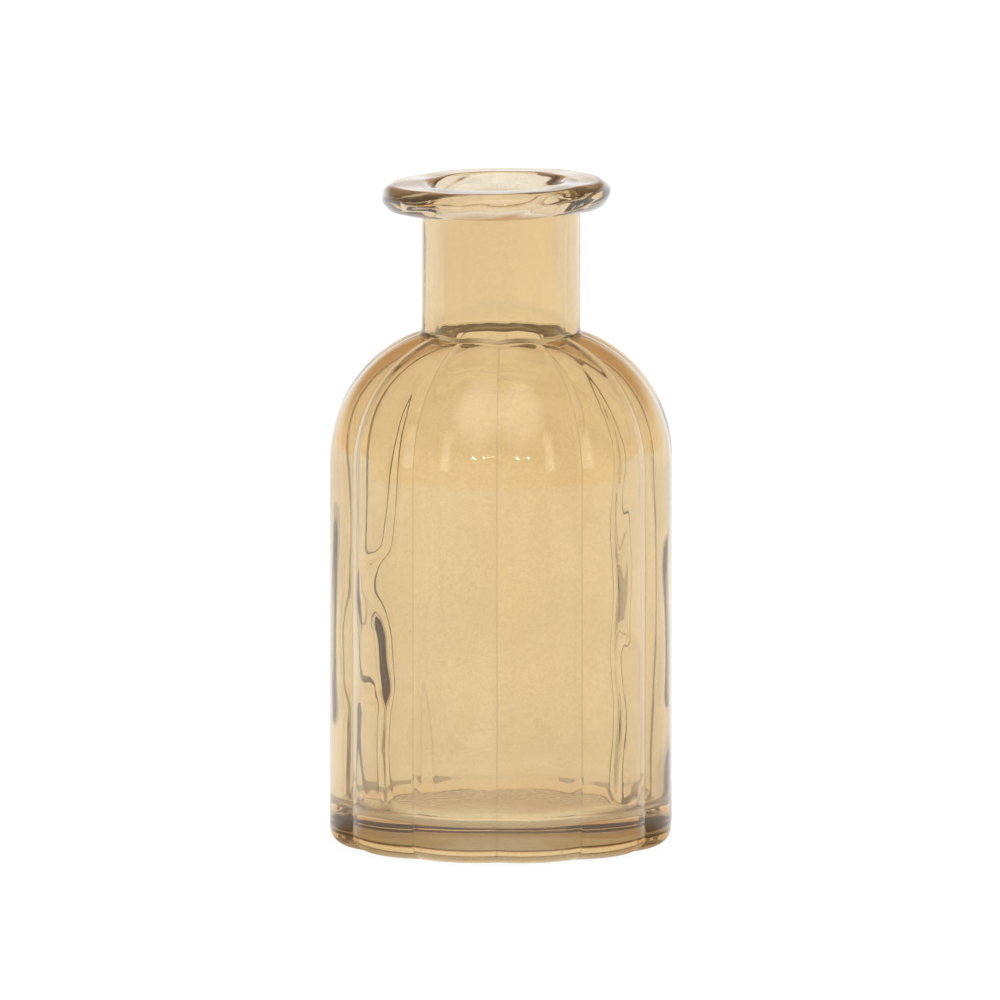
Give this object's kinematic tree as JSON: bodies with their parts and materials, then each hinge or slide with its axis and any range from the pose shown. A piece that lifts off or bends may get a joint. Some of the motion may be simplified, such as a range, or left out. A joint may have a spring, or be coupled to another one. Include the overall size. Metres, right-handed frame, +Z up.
{
  "type": "bud vase",
  "caption": "Small bottle-shaped glass bud vase with a fluted side, a round shoulder, a narrow neck, a thick base and a rounded lip.",
  "frame": {"origin": "centre of the base, on the surface the vase stands on", "axes": "+Z up along the vase, from the base to the lip"},
  "size_m": [0.07, 0.07, 0.1363],
  "materials": {
    "clear_glass": "polished",
    "amber_tint": "polished",
    "lip_glass": "fire polished"
  },
  "bodies": {
    "root": {"fluted_body": "clear_glass", "amber_coat": "amber_tint", "lip_ring": "lip_glass"}
  },
  "joints": []
}
